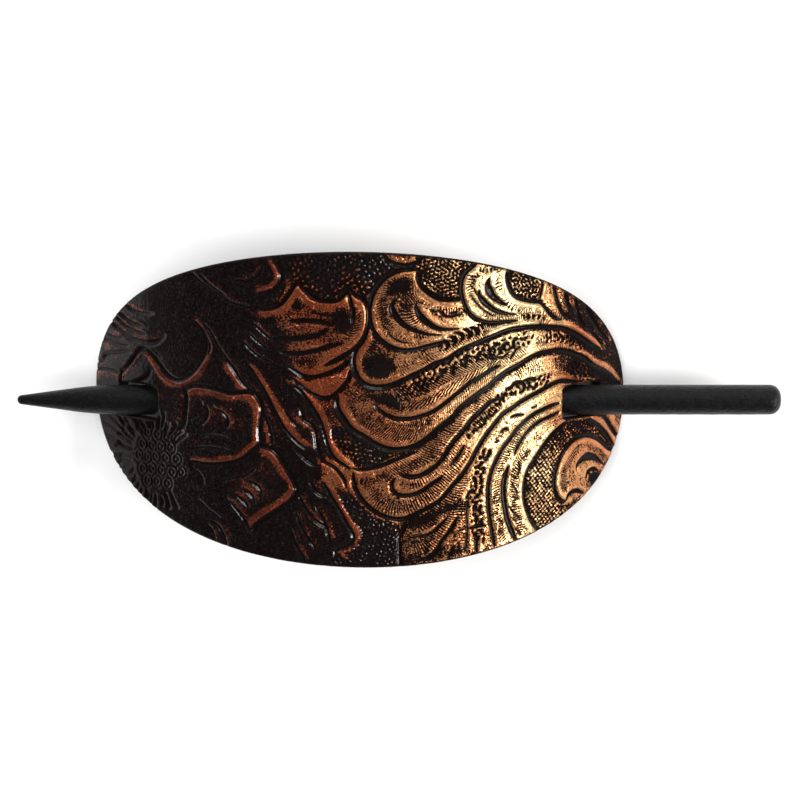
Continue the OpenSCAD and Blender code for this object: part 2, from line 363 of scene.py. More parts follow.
# Fields of background texture. Columns: kind, pitch, then the outline. A pebble field has loose small dots,
# a maze field has short worms and a mat field has squares in slanting rows.
FIELDS = """
pebble 1: -22,38 -16.5,30.5 -14,29.8 -10,26.4 -5,26.2 -2.4,28.4 0.8,26.2 2,27 4.5,30.5 8,32.6 12.6,33
    13.2,36.5 10,38
maze 0.85: 12.6,33 13.6,29.6 15.5,27.6 18.6,26 22.2,26.2 22.2,29.5 24.5,32.5 26.5,38 13,38
pebble 0.9: -3.2,-4.2 0.6,-7.2 4,-9.2 8,-10 11.5,-9.2 7,-10.6 3,-12.2 -0.6,-12.4 -3.4,-10.6 -6.2,-7
    -6,-3.4
pebble 0.85: -13,-38 -4.5,-32.2 -1.6,-30.4 0.4,-28 -2.4,-24 -4.6,-20.6 -2.2,-19 0,-21.4 3.6,-24.4 8,-25.8
    9,-28 8,-31 8.2,-38
maze 0.9: 35,31.5 34.9,28.4 36,26 39,25 42.4,24.4 43,28 43.6,32
mat 0.9: 40.4,-26 39.7,-20 40.6,-15.6 43,-12.4 46,-9.4 49.6,-7 52.6,-6.4 52,-9.6 49.4,-12.6 47.6,-16
    47,-19.6 47.6,-22.6 49.6,-24.6 53,-24.4 56.5,-23.2 52,-27 44,-31 42.4,-29
pebble 0.8: 51.6,-6 54,-5 57,-5.4 60.5,-7 64,-9 68.5,-13 66,-11.8 63,-10 60,-8.7 57,-8.3 54,-8.9
pebble 1.1: -21.6,-1.6 -20.5,-5 -19.8,-8.6 -22.6,-8.2 -22.4,-4
pebble 1.1: -24,25.6 -18.8,26.4 -16.6,28.6 -17.5,26 -19,24.4 -23.5,23.6
pebble 1.2: -22.5,-27 -18,-24 -15,-21 -13.6,-22 -15.6,-27 -16,-34 -25,-33
"""

# Bands of small tooling along a path. Columns: kind, pitch, half width, slant in degrees, then points
BANDS = """
chevron 1.9 1.5 0: 17.4,14.2 19.4,15 21.8,16.1 23.6,16.8 25.4,17.1 27.1,17.6 29,18
chevron 1.45 0.6 0: 38,20.3 40,20.1 42.5,19.7 45,19.2 47.5,18.6
worms 1.25 1.6 0: 11.5,5.6 15.5,7.4 18.5,9.2 21.5,10.6 25,11.8 30,13 36,14.4 41,15.6
worms 1.3 1.2 0: 24,-6.5 26.4,-4.2 29,-2.2 31.4,0.4 33.4,2.4 37.5,4 42,5 47,5.6
worms 1.2 1.6 0: 7.5,3.6 10.5,4.2 13.5,5.4 16,6.8
worms 1.3 1.5 0: 29.4,-9 27.8,-13 26.9,-17 26.6,-21 26.8,-26 27.6,-32
bold 0.62 1.5 35: 8,3.6 12,4.6 16,6.2 20,8.2 24,9.9 28,11 32,11.8
bold 1.2 0.9 -60: 10,0.6 14,1.6 18,3.4 21.5,5.4 25,7.2 28.8,9 33,10.6
hatch 0.57 1.1 25: 31.8,9.4 35.2,10.9 38.2,12.2 41.2,13 44.4,13.3 49,13 55,11.4
hatch 0.57 1 20: 8,8.3 12.4,10.2 14.9,11.6 17.4,13.1 20,14.2 23.1,15.4 26.3,16.5 30,17.3
hatch 0.58 2.3 -35: 2,-3.4 5,-4.8 8.9,-5.2 13.4,-4.6 18.3,-2.4 23.2,1.4 28,5.3 33,8
hatch 0.6 2 30: 2,-14.5 6,-13.7 10,-12.4 14.6,-10 19.2,-6.1 23.8,-1.7 28.7,2.4 32,4.4
hatch 0.62 0.9 0: 10.6,-17.5 14,-16.3 16.6,-14.2 18.8,-12.4 20.9,-10.2 23.3,-7.1 25.4,-4.9 27.8,-2.5
    30.6,-0.6 33,1.2
hatch 0.6 1.6 0: 2,-18.5 4.5,-21.2 8,-22.4 12,-21.6 16,-19.2 19,-16.2 22,-12.4 25,-8.6
hatch 0.57 0.9 15: 44,-3 41.5,-4 38.4,-6.4 35.4,-9.8 33,-13 31.9,-17 31.8,-22 32.5,-27 34,-32
hatch 0.57 1.1 -15: 40,-9.8 37.6,-13 36.4,-17 36.4,-22 37.6,-26.5 39.4,-30.5
hatch 0.6 1.1 30: 9,29.8 6.3,28.4 4.6,25.6 4.3,22 5.2,19.2 7.4,17 10.5,15.9 14,16
hatch 0.6 1.8 -25: 14.5,28.3 11.6,26.4 10.3,23.4 11.5,21.2 14,19.3 17,18
hatch 0.6 1.6 20: 12,-26.6 15,-25.6 19,-22.6 22,-18.6 24.2,-14.6
hatch 0.6 1.6 20: 11.5,-31.6 15,-31.2 18.2,-28.4 21.5,-24.6 23.4,-20.4
hatch 0.6 1.2 0: 36,6.6 40,8 45,8.9 50,8.6 55,7.2 60,5
hatch 0.6 1 0: 25.4,31.4 24.9,27.6 26.4,23.6 29.5,21.2 34,20.2
hatch 0.6 1 30: -17,25.6 -14,26.4 -9,23.4 -5,23.4 -1.6,23.6 -0.5,20 -3,15.5 -7,12.6 -12,11.4 -16,12.4
hatch 0.6 1.4 20: -14,6.8 -10,5.6 -6,6.4 -3.6,9
worms 1.2 1.6 0: 52,7.6 57,6 61,4
worms 1.2 1.4 0: 44,15.2 49,14.8 54,12.9 58,10.9
"""

# Share of the face that the copper covers at places s,y,share over the oval. The rest is black dye. The
# shares are set lower on the left and at the right end, where the light falls off, so this is partly painted
# shade.
COPPER_SHARES_AND_SHADE = """
-70,8,0.22 -66,-6,0.08 -60,15,0.05 -45,20,-0.1 -30,28,-0.05 -20,30,0 -35,14,-0.1 -52,-12,0 -60,-14,-0.1
-40,-10,0.05 -30,-2,0.2 -36,0,0.16 -46,-2,0.2 -42,8,0.15 -33,-10,0.03 -25,-20,0.2 -30,-26,0 -40,-22,-0.08
-20,-29,-0.05 -12,-24,0 -5,-22,0.12 -20,12,-0.05 -28,14,-0.05 -22,2,0.25 -12,15,0.3 -8,22,0.4 -14,26,0.6
-2,26,0.6 -3,18,0.4 -8,6,0.85 -12,-2,0.12 -16,4,0.1 -10,-8,0.14 -4,-13,0.85 -4,-1,0.3 -8,31,0.12 4,32,0.12
5,24,0.32 10,24,0.35 10,30,0.35 17,22,0.65 10,16,0.75 15,13,0.8 4,10,0.2 10,9,0.6 18,9,0.7 24,10,0.75
18,14,0.85 18,30,0.38 2,0,0.35 8,2,0.25 14,4,0.6 20,7,0.72 28,10.5,0.62 35,13.5,0.7 45,14,0.75 6,-5,0.55
15,-4,0.6 22,-1,0.7 30,5,0.8 40,8.5,0.75 2,-9,0.2 6,-16,0.45 6,-21,0.35 13,-21,0.42 17,-11,0.45 22,-8,0.5
28,-2,0.6 36,2,0.7 22,-16,0.65 25,-24,0.45 30,-9,0.65 38,-2,0.74 46,1.5,0.75 33,-20,0.6 37,-24,0.55
15,-28,0.3 21,-30,0.35 2,-30,0 47,-15,0.55 51,-8.5,0.2 54,-4,0.3 50,-4,0.6 52,-15,0.75 60,-11,0.6
66,-16,0.55 62,-19,0.4 68,0,0.2 55,8,0.2 62,5,0.12 30,25,0.78 40,21,0.75 39,28,0.4 46,19,0.7 46,26,0.6
56,17,0.1 52,22,0.2 60,13,0.1 62,12,0.2 70,5,0.15 70,-6,0.45
"""

# Tone of the copper at places s,y,tone over the oval, from 0, dark red, to 1, pale gold. This is partly
# painted light: pale gold where the key light's highlight falls, dark red on the unlit left and duller at the
# right end as painted shade.
TONE_AND_LIGHT_PLACES = """
-70,5,0.04 -60,10,0.03 -60,-10,0.05 -45,-15,0.05 -46,0,0.07 -36,0,0.05 -40,10,0.05 -30,25,0.08 -20,31,0.14
-25,-18,0.07 -16,-19,0.14 -20,-29,0.06 -28,10,0.14 -22,2,0.25 -12,-4,0.22 -8,-10,0.25 -4,-14,0.38
-12,-25,0.2 -5,-22,0.25 -2,-30,0.3 -14,27,0.3 -8,22,0.28 -2,24,0.32 -6,14,0.28 -8,5,0.24 -1,17,0.32
8,35,0.42 8,31,0.48 4,24,0.5 8,20,0.58 12,23,0.6 5,10,0.44 4,0,0.38 5,-5,0.4 10,-3,0.5 8,4,0.5 12,14,0.6
15,8,0.6 17,1,0.58 15,-6,0.56 10,-13,0.52 10,-20,0.55 4,-20,0.42 14,-28,0.5 20,-30,0.48 20,16,0.75
20,25,0.62 24,12,0.85 24,5,0.78 22,-3,0.7 22,-12,0.58 25,-20,0.65 27,-28,0.62 18,31,0.85 28,30,0.95
28,22,1 33,26,1 36,21,1 35,15,1 34,8,0.95 36,2,0.95 32,-5,0.85 31,-14,0.8 31,-24,0.85 40,0,1 38,-10,0.95
36,-20,0.88 38,-27,0.82 42,22,0.95 39,28,0.9 45,25,0.62 42,15,0.9 42,9,1 44,-8,0.95 45,-17,0.95
46,-25,0.85 46,9,0.6 49,15,0.55 48,19,0.7 49,24,0.58 53,22,0.35 57,17,0.35 55,9,0.45 60,6,0.45 52,5,0.35
60,12,0.4 64,14,0.45 70,5,0.45 49,2,0.75 50,-4,0.55 53,-8,0.4 60,-7,0.4 64,-8,0.55 56,-12,0.5 52,-16,0.58
50,-20,0.75 60,-12,0.48 64,-13,0.48 58,-18,0.6 55,-21,0.6 68,-5,0.45 70,-10,0.45
"""

# Patches where the dye stays on the face: (s, y, half length, half width, turn in degrees, strength)
DARK_PATCHES = [
    (4.3, 10, 3.2, 2.8, 10, 0.55),
    (9, 28.5, 3.4, 2.2, 20, 0.6),
    (5.6, 2.6, 3.6, 1.3, -15, 0.55),
    (-4, 21, 2.2, 3.2, 0, 0.6),
    (-14, 24, 1.4, 1.2, 0, 0.6),
    (60.8, -19.3, 2.0, 1.3, 0, 0.9),
    (-13, -13, 4, 8, 35, 0.6),
    (15, -24.5, 7, 1.2, 20, 0.5),
    (18, -33, 7, 1.2, 10, 0.5),
]

# The flower's middle: ring beads and stamens round it
FLOWER_MIDDLE = (-50.5, -13.5)
BEAD_FIELD = (8.0, 7.5)
BEAD_PITCH = 3.1
BEAD_RADIUS = 1.35
STAMEN_FANS = [
    # first and last angle in degrees, count, inner and outer distance, width
    (35, 130, 17, 6.6, 10.5, 0.7),
    (135, 205, 11, 8.0, 14.5, 0.7),
    (150, 200, 9, 12.0, 20.0, 0.6),
    (215, 300, 12, 8.5, 12.5, 0.7),
]

# The relief is worked out on a raster over the flat oval
CELL = 0.1
RASTER_S = 76.0
RASTER_Y = 38.0
PATH_STEP = 0.45
GROOVE_DEPTH = 0.65
GROOVE_WALL = 0.34
SLOPE_DEPTH = 0.3
FIELD_DEPTH = 0.3
PEBBLE_HEIGHT = 0.26
GLINT_HEIGHT = 0.3
STAMEN_DEPTH = 0.34
BEAD_HEIGHT = 0.32
BEAD_DIP = 0.3
# Where the waves of a field rise to its dots, and how the squares of a mat lie
DOT_LEVELS = {"pebble": (0.35, 1.3), "maze": (-0.2, 0.6)}
MAT_TURN = math.radians(38)
MAT_SQUASH = 0.9
# What the bands do: strength of drawn hatching, and depth and darkness of cut marks
HATCH_STRENGTH = {"hatch": 1.0, "bold": 1.9}
MARK_DEPTH = 0.3
MARK_DARKNESS = {"chevron": 1.2, "worms": 0.9}
FRINGE_PITCH = 0.55
STROKE_REACH = 5.0
# Each stroke's textures start this much further along, so that no two are alike
STROKE_SHIFT = 37.7
RIM_SHIFT = 9
# Seeds of the random draws. Each field and band adds its own number to its seed.
FIELD_SEED = 10
BAND_SEED = 60
FLOWER_SEED = 5
FACE_SEED = 7
STICK_SEED = 21
HAIR_GRID, VEIN_GRID, GRAIN_GRID, PHASE_GRID, HATCH_GRID, RIM_GRID = range(1, 7)

s_line = np.arange(-RASTER_S, RASTER_S + CELL / 2, CELL)
y_line = np.arange(-RASTER_Y, RASTER_Y + CELL / 2, CELL)
SHAPE = (len(y_line), len(s_line))


def smoothstep(low, high, x):
    t = np.clip((x - low) / (high - low), 0, 1)
    return t * t * (3 - 2 * t)


def in_turned_axes(s, y, turn):
    """Places measured along axes that are turned by an angle."""
    c, k = math.cos(turn), math.sin(turn)
    return s * c + y * k, y * c - s * k


def raise_to(layers, at, **values):
    """Lifts layers to values wherever they lie lower."""
    for name, value in values.items():
        layers[name][at] = np.maximum(layers[name][at], value)


def put_where(layers, at, chosen, **values):
    for name, value in values.items():
        layers[name][at] = np.where(chosen, value, layers[name][at])


def curve_through(points, step=PATH_STEP):
    """A smooth path through the listed points, as evenly spaced points."""
    p = np.array(points, float)
    p = np.vstack([2 * p[0] - p[1], p, 2 * p[-1] - p[-2]])
    parts = []
    for a, b, c, d in zip(p, p[1:], p[2:], p[3:]):
        count = max(2, math.ceil(np.linalg.norm(c - b) / step))
        t = np.linspace(0, 1, count, endpoint=False)[:, None]
        parts.append(0.5 * (2 * b + (c - a) * t + (2 * a - 5 * b + 4 * c - d) * t**2
                            + (3 * b - a - 3 * c + d) * t**3))
    parts.append(p[-2][None])
    return np.vstack(parts)


def window(low, high):
    """The raster's slices that hold a box of the flat oval."""
    c0, c1 = np.searchsorted(s_line, (low[0], high[0]))
    r0, r1 = np.searchsorted(y_line, (low[1], high[1]))
    return slice(r0, r1), slice(c0, c1)


def measure_from(path, reach):
    """Round a path: its window, and each cell's distance, side (1 on the left) and arc length."""
    rows, columns = window(path.min(0) - reach, path.max(0) + reach)
    size = (rows.stop - rows.start, columns.stop - columns.start)
    distance = np.full(size, 1e3)
    side = np.ones(size)
    along = np.zeros(size)
    start = 0.0
    for a, b in zip(path, path[1:]):
        r, c = window(np.minimum(a, b) - reach, np.maximum(a, b) + reach)
        part = (slice(r.start - rows.start, r.stop - rows.start),
                slice(c.start - columns.start, c.stop - columns.start))
        ds = s_line[c][None, :] - a[0]
        dy = y_line[r][:, None] - a[1]
        edge = b - a
        length = float(np.hypot(*edge))
        t = np.clip((ds * edge[0] + dy * edge[1]) / length**2, 0, 1)
        away = np.hypot(ds - t * edge[0], dy - t * edge[1])
        nearer = away < distance[part]
        distance[part] = np.where(nearer, away, distance[part])
        side[part] = np.where(nearer, np.where(edge[0] * dy - edge[1] * ds >= 0, 1, -1), side[part])
        along[part] = np.where(nearer, start + t * length, along[part])
        start += length
    return (rows, columns), distance, side, along, start


def random_grid(seed, size=256):
    return np.random.default_rng(seed).random((size, size))


def value_noise(grid, u, v):
    """Smooth noise from 0 to 1 at places u, v, one grid square to a unit."""
    size = len(grid)
    i = np.floor(u).astype(int)
    j = np.floor(v).astype(int)
    fu = u - i
    fv = v - j
    fu = fu * fu * (3 - 2 * fu)
    fv = fv * fv * (3 - 2 * fv)
    i0, i1, j0, j1 = i % size, (i + 1) % size, j % size, (j + 1) % size
    top = grid[j0, i0] * (1 - fu) + grid[j0, i1] * fu
    low = grid[j1, i0] * (1 - fu) + grid[j1, i1] * fu
    return top * (1 - fv) + low * fv


def blurred(field, radius):
    """The field averaged three times over a box of that radius, in millimetres."""
    n = max(1, round(radius / CELL))
    for axis in (0, 1) * 3:
        padded = np.pad(field, [(n + 1, n) if k == axis else (0, 0) for k in (0, 1)], mode="edge")
        total = np.cumsum(padded, axis=axis)
        ahead = np.take(total, range(2 * n + 1, total.shape[axis]), axis=axis)
        behind = np.take(total, range(0, total.shape[axis] - 2 * n - 1), axis=axis)
        field = (ahead - behind) / (2 * n + 1)
    return field


def inside_outline(outline):
    """1 within a closed outline of the flat oval, soft over half a millimetre."""
    path = curve_through(outline + outline[:1], 0.8)
    (rows, columns), distance, _, _, _ = measure_from(path, 0.8)
    s = s_line[columns][None, :]
    crossings = np.zeros(distance.shape, int)
    for (s0, y0), (s1, y1) in zip(path, path[1:]):
        if y0 == y1:
            continue
        y = y_line[rows]
        crossed = (y0 <= y) != (y1 <= y)
        at = s0 + (y - y0) / (y1 - y0) * (s1 - s0)
        crossings += crossed[:, None] & (s < at[:, None])
    signed = np.where(crossings % 2 == 1, 1, -1) * np.minimum(distance, 0.8)
    return (rows, columns), smoothstep(-0.25, 0.25, signed)


def wave_field(u, v, seed):
    """Random waves of about one unit's length, with a spread of one."""
    rng = np.random.default_rng(seed)
    total = np.zeros(u.shape)
    for heading in np.arange(9) * 2 * math.pi / 9 + rng.uniform(0, 0.5, 9):
        length = rng.uniform(0.85, 1.2)
        phase = rng.uniform(0, 2 * math.pi)
        total += np.cos(2 * math.pi / length * (u * math.cos(heading) + v * math.sin(heading)) + phase)
    return total / math.sqrt(4.5)


def jittered_dots(u, v, jitter, seed):
    """Distance from the nearest dot of a jittered unit grid, and that dot's own number from 0 to 1."""
    across, up, own = (random_grid(seed + k) for k in range(3))
    nearest = np.full(u.shape, 9.0)
    number = np.zeros(u.shape)
    i0, j0 = np.floor(u).astype(int), np.floor(v).astype(int)
    for di in (-1, 0, 1):
        for dj in (-1, 0, 1):
            i, j = (i0 + di) % 256, (j0 + dj) % 256
            away = np.hypot(u - (i0 + di + 0.5 + jitter * (across[j, i] - 0.5)),
                            v - (j0 + dj + 0.5 + jitter * (up[j, i] - 0.5)))
            nearer = away < nearest
            nearest = np.where(nearer, away, nearest)
            number = np.where(nearer, own[j, i], number)
    return nearest, number


def press_fields(layers):
    """Presses the background fields and raises their dots."""
    for number, ((kind, pitch), outline) in enumerate(read_rows(FIELDS)):
        pitch = float(pitch)
        at, mask = inside_outline(outline)
        s, y = np.meshgrid(s_line[at[1]], y_line[at[0]])
        if kind == "mat":
            u, v = in_turned_axes(s, y, MAT_TURN)
            away, own = jittered_dots(u / pitch, v / pitch / MAT_SQUASH, 0.2, FIELD_SEED + number)
            dot = 1 - smoothstep(0.28, 0.55, away + 0.1 * (own - 0.5))
        else:
            dot = smoothstep(*DOT_LEVELS[kind], wave_field(s / pitch, y / pitch, FIELD_SEED + number))
        layers["relief"][at] -= mask * (FIELD_DEPTH - PEBBLE_HEIGHT * dot)
        layers["dark"][at] += mask * (0.75 - 0.85 * dot)


def band_marks(kind, pitch, x, y, number):
    """Dark marks of a band at x along it and y across it, from 0 to 1."""
    if kind == "worms":
        return smoothstep(-0.1, 0.45, wave_field(x / pitch, y / pitch, BAND_SEED + number))
    local = x - (np.floor(x / pitch) + 0.5) * pitch
    bow = (local + 0.6 * y**2) / pitch + 0.5
    bow -= np.floor(bow)
    return smoothstep(0.0, 0.1, bow) * (1 - smoothstep(0.56, 0.66, bow))


def lay_bands(layers):
    """Rows of small tooling. Fine hatching is kept as a phase and a strength, which the material draws."""
    for number, ((kind, *sizes), points) in enumerate(read_rows(BANDS)):
        pitch, half_width, slant = map(float, sizes)
        at, distance, side, along, length = measure_from(curve_through(points), half_width + 0.5)
        across = distance * side
        taper = smoothstep(0, 1.5, np.minimum(along, length - along))
        mask = (1 - smoothstep(half_width - 0.35, half_width + 0.35, distance)) * taper
        if kind in HATCH_STRENGTH:
            mask = mask * HATCH_STRENGTH[kind]
            phase = (along + math.tan(math.radians(slant)) * across) / pitch
            put_where(layers, at, mask > layers["hatch"][at], phase=phase, hatch=mask)
        else:
            mark = band_marks(kind, pitch, along, across, number) * mask
            layers["relief"][at] -= MARK_DEPTH * mark
            layers["dark"][at] += MARK_DARKNESS[kind] * mark
            layers["hatch"][at] *= 1 - np.minimum(mask, 1)


def stroke_half(width, place, along, length):
    """Half width of a groove along its stroke. With a place given it swells like a crescent, widest there."""
    if place:
        t = np.clip(along / length, 0.001, 0.999)
        return width / 2 * np.where(t < place, t / place, (1 - t) / (1 - place)) ** 0.7
    taper = np.clip(np.minimum(along, length - along) / (2.2 * width), 0, 1)
    return width / 2 * (0.35 + 0.65 * np.sqrt(taper))


def cut_strokes(layers):
    """Cuts every stroke: a black groove with a rim or a pressed slope on each side."""
    ridges = {"slope": np.zeros(SHAPE), "rim": np.zeros(SHAPE)}
    for number, (width, place, left, right, points) in enumerate(STROKES):
        at, distance, side, along, length = measure_from(curve_through(points), STROKE_REACH)
        half = stroke_half(width, place, along, length)
        widest = 2 * half.max()
        beyond = np.maximum(distance - half, 0)
        on_left = side > 0
        fall, height, copper, fringe = (np.where(on_left, a, b) for a, b in zip(SIDES[left], SIDES[right]))
        end = np.clip(2 * half / widest, 0, 1)
        fade = 1 - smoothstep(3.6, 4.8, distance)
        pressed = SLOPE_DEPTH * np.exp(-beyond / (fall + 0.01)) * np.minimum(1, fall + 0.2)
        raised = height * np.exp(-(((beyond - 0.45) / 0.42) ** 2)) * end
        raise_to(ridges, at, slope=pressed * (fall > 0) * end * fade, rim=raised)
        core = 1 - smoothstep(-GROOVE_WALL, 0.1, distance - half)
        shift = RIM_SHIFT * number
        uneven = value_noise(random_grid(RIM_GRID), along / 4.5 + shift, beyond / 1.5 + 3 * on_left)
        band = (1 - smoothstep(0.7, 1.9, beyond + 1.2 * (uneven - 0.5))) * end
        shade = 0.6 * (1 - smoothstep(0.1, 0.7, beyond)) * (fall > 1) * end
        raise_to(layers, at, groove=core * end * min(1, 0.25 + 0.75 * widest), rim=copper * band, shade=shade)
        layers["edge"][at] = np.minimum(layers["edge"][at], distance - half)
        behind = smoothstep(1.0, 1.5, beyond) * (1 - smoothstep(2.2, 3.8, beyond)) * fringe * end
        put_where(layers, at, behind > layers["hatch"][at], phase=along / FRINGE_PITCH, hatch=behind)
        put_where(layers, at, distance < layers["distance"][at],
                  distance=distance, across=distance * side, along=along + STROKE_SHIFT * number)
    for (width,), points in read_rows(GLINTS):
        at, distance, _, _, _ = measure_from(curve_through(points), 1.5)
        layers["relief"][at] += GLINT_HEIGHT * (1 - smoothstep(0, float(width) * 1.2, distance))
    layers["relief"] += ridges["rim"] - ridges["slope"]
    layers["relief"] *= 1 - layers["groove"]
    layers["relief"] -= GROOVE_DEPTH * layers["groove"]


def raise_flower(layers):
    """The ring beads in the flower's middle and the stamens round them."""
    relief, dark = layers["relief"], layers["dark"]
    s0, y0 = FLOWER_MIDDLE
    rng = np.random.default_rng(FLOWER_SEED)
    for row in range(-3, 4):
        for column in range(-3, 4):
            s = s0 + (column + 0.5 * (row % 2)) * BEAD_PITCH + rng.uniform(-0.35, 0.35)
            y = y0 + row * BEAD_PITCH * 0.87 + rng.uniform(-0.35, 0.35)
            if ((s - s0) / BEAD_FIELD[0]) ** 2 + ((y - y0) / BEAD_FIELD[1]) ** 2 > 1:
                continue
            at = window((s - 2.4, y - 2.4), (s + 2.4, y + 2.4))
            away = np.hypot(s_line[at[1]][None, :] - s, y_line[at[0]][:, None] - y)
            ring = np.exp(-(((away - BEAD_RADIUS * 0.85) / 0.32) ** 2))
            pip = np.exp(-((away / 0.42) ** 2))
            dip = 1 - smoothstep(BEAD_RADIUS, BEAD_RADIUS * 1.45, away)
            relief[at] += BEAD_HEIGHT * np.maximum(ring, pip) - BEAD_DIP * dip
    for first, last, count, inner, outer, width in STAMEN_FANS:
        for angle in np.radians(np.linspace(first, last, count) + rng.uniform(-2, 2, count)):
            inner_end = inner + rng.uniform(-0.4, 0.4)
            outer_end = outer + rng.uniform(-1.2, 1.2)
            bend = angle + rng.uniform(-0.08, 0.08)
            line = [(s0 + d * math.cos(a), y0 + d * math.sin(a))
                    for d, a in ((inner_end, angle), ((inner_end + outer_end) / 2, bend), (outer_end, angle))]
            at, distance, _, along, length = measure_from(curve_through(line), 1.4)
            taper = np.sqrt(np.clip(np.minimum(along, length - along) / 1.2, 0, 1))
            core = (1 - smoothstep(width * 0.2, width * 0.8, distance)) * taper
            relief[at] -= STAMEN_DEPTH * core
            dark[at] = np.maximum(dark[at], 0.5 * core)


def blended_places(rows, s, y):
    """A value over the oval, blended between the listed places."""
    total = np.zeros(s.shape)
    weights = np.zeros(s.shape)
    for s0, y0, value in rows:
        weight = 1 / ((s - s0) ** 2 + (y - y0) ** 2 + 1.5) ** 2
        total += weight * value
        weights += weight
    return total / weights


def tooled_layers():
    """The relief in millimetres over the flat oval, and the layers that the material reads."""
    names = ("relief", "groove", "dark", "shade", "rim", "hatch", "phase", "along")
    layers = {name: np.zeros(SHAPE) for name in names}
    layers.update({name: np.full(SHAPE, STROKE_REACH) for name in ("distance", "across", "edge")})
    press_fields(layers)
    raise_flower(layers)
    lay_bands(layers)
    cut_strokes(layers)
    s, y = np.meshgrid(s_line, y_line)

    def noise_at(seed, u, v):
        return value_noise(random_grid(seed), u, v)

    near = np.exp(-layers["distance"] / 3.5) * (1 - layers["groove"])
    hair = noise_at(HAIR_GRID, layers["along"] / 0.42, layers["across"] / 2.4) - 0.5
    vein = noise_at(VEIN_GRID, layers["along"] / 3.5, layers["across"] / 0.38) - 0.5
    grain = noise_at(GRAIN_GRID, s / 0.5, y / 0.5) - 0.5
    layers["phase"] += 0.9 * noise_at(PHASE_GRID, s / 1.4, y / 1.4)
    layers["hatch"] *= np.clip(0.1 + 1.5 * noise_at(HATCH_GRID, s / 2.3, y / 2.3), 0, 1)
    layers["hatch"] *= 1 - 0.6 * smoothstep(4, -8, s)
    hatched = 0.5 - 0.5 * np.cos(2 * math.pi * layers["phase"])
    layers["relief"] += 0.06 * near * hair + 0.06 * near * vein + 0.04 * grain
    layers["relief"] -= 0.07 * layers["hatch"] * hatched * (1 - layers["groove"])
    for s0, y0, half_s, half_y, turn, strength in DARK_PATCHES:
        u, v = in_turned_axes(s - s0, y - y0, math.radians(turn))
        patch = strength * (1 - smoothstep(0.6, 1.3, np.hypot(u / half_s, v / half_y) + 0.7 * hair))
        raise_to(layers, ..., shade=patch)
    proud = layers["relief"] - blurred(layers["relief"], 0.9)
    # The copper's share carries painted shade: it is lowered on the left and at the right end, where the
    # light falls off.
    copper_and_shade = blended_places(read_points(COPPER_SHARES_AND_SHADE), s, y)
    veiled = smoothstep(-40, -54, s) * (0.85 + 0.15 * smoothstep(4, -4, y))
    layers["gloss"] = (1 - smoothstep(0.2, 0.5, copper_and_shade)) * smoothstep(14, 0, s) * (1 - 0.8 * veiled)
    quiet = 1 - smoothstep(0.1, 0.35, copper_and_shade)
    share = copper_and_shade + layers["rim"] - layers["shade"] - layers["dark"] * (1 - layers["rim"])
    # Less copper still where its share is low, mostly on the left: this darkening is partly painted shade.
    share -= 0.27 * quiet * (1 - layers["rim"] / 0.6)
    layers["share"] = np.clip(share + np.clip(1.2 * proud, -0.3, 0.3), -0.6, 1)
    # The tone carries painted light: paler gold under the key light's highlight, darker red where the light
    # falls off.
    layers["tone_and_light"] = blended_places(read_points(TONE_AND_LIGHT_PLACES), s, y)
    return layers


def sampled(raster, s, y):
    """The raster's values at places on the flat oval."""
    u = np.clip((s + RASTER_S) / CELL, 0, SHAPE[1] - 1.001)
    v = np.clip((y + RASTER_Y) / CELL, 0, SHAPE[0] - 1.001)
    i, j = u.astype(int), v.astype(int)
    fu, fv = u - i, v - j
    return ((raster[j, i] * (1 - fu) + raster[j, i + 1] * fu) * (1 - fv)
            + (raster[j + 1, i] * (1 - fu) + raster[j + 1, i + 1] * fu) * fv)


# Outlines of the leather: rings from the face over the cut edge to the back
RIM_POINTS = 760
SLOT_POINTS = 96
FACE_SPACING_FINE = 0.27
FACE_SPACING_PLAIN = 0.5
BACK_SPACING = 1.4
# Each row of an edge: how far it is inset, its depth as a share of the thickness, and the relief's share
OUTER_EDGE = [(0.5, 0.0, 1.0), (0.22, 0.03, 0.8), (0.05, 0.12, 0.45), (0.0, 0.3, 0.15), (0.0, 0.55, 0.0),
              (0.04, 0.8, 0.0), (0.18, 0.95, 0.0), (0.45, 1.0, 0.0)]
SLOT_EDGE = [(-0.32, 0.0, 1.0), (-0.12, 0.05, 0.7), (0.0, 0.16, 0.3), (0.0, 0.5, 0.0), (0.0, 0.9, 0.0),
             (-0.2, 1.0, 0.0)]


def oval_ring(inset):
    t = np.arange(RIM_POINTS) * 2 * math.pi / RIM_POINTS
    along = (HALF_LENGTH - inset) * np.cos(t)
    across = (HALF_WIDTH - inset) * np.sin(t)
    return np.c_[in_turned_axes(along, across, -OVAL_TURN)]


def slot_ring(side, inset, radius):
    """A slot's outline where its straight walls meet a radius of the arch."""
    corner = SLOT_CORNER - inset
    t = np.arange(SLOT_POINTS) * 2 * math.pi / SLOT_POINTS + math.pi / SLOT_POINTS
    u = corner * np.cos(t) + (SLOT_LENGTH / 2 - SLOT_CORNER) * np.sign(np.cos(t))
    v = corner * np.sin(t) + (SLOT_WIDTH / 2 - SLOT_CORNER) * np.sign(np.sin(t))
    s = BEND_RADIUS * (side * SLOT_REACH / BEND_RADIUS + np.arcsin(u / radius))
    return np.c_[s, SLOT_Y + v]


def beyond_slot(places, ring, inset):
    """How far places are outside the round corners' radius of a slot's ring."""
    centre = (ring.min(0) + ring.max(0)) / 2
    corner = SLOT_CORNER - inset
    inner = (ring.max(0) - ring.min(0)) / 2 - corner
    return np.hypot(*np.maximum(np.abs(places - centre) - inner, 0).T) - corner


def on_arch(s, y, radius):
    """Flat places at a radius of the arch, in the row frame, in metres. The two ends are pressed flat."""
    angle = s / BEND_RADIUS
    height = np.maximum(radius * np.cos(angle) - FLOOR_LEVEL, 0)
    return np.c_[OVAL_X + radius * np.sin(angle), y, height] * MM


# Shares of a cell's rest that the error diffusion hands on to the cells round it
AHEAD = 7 / 16
BELOW_BEHIND = 3 / 16
BELOW = 5 / 16
BELOW_AHEAD = 1 / 16


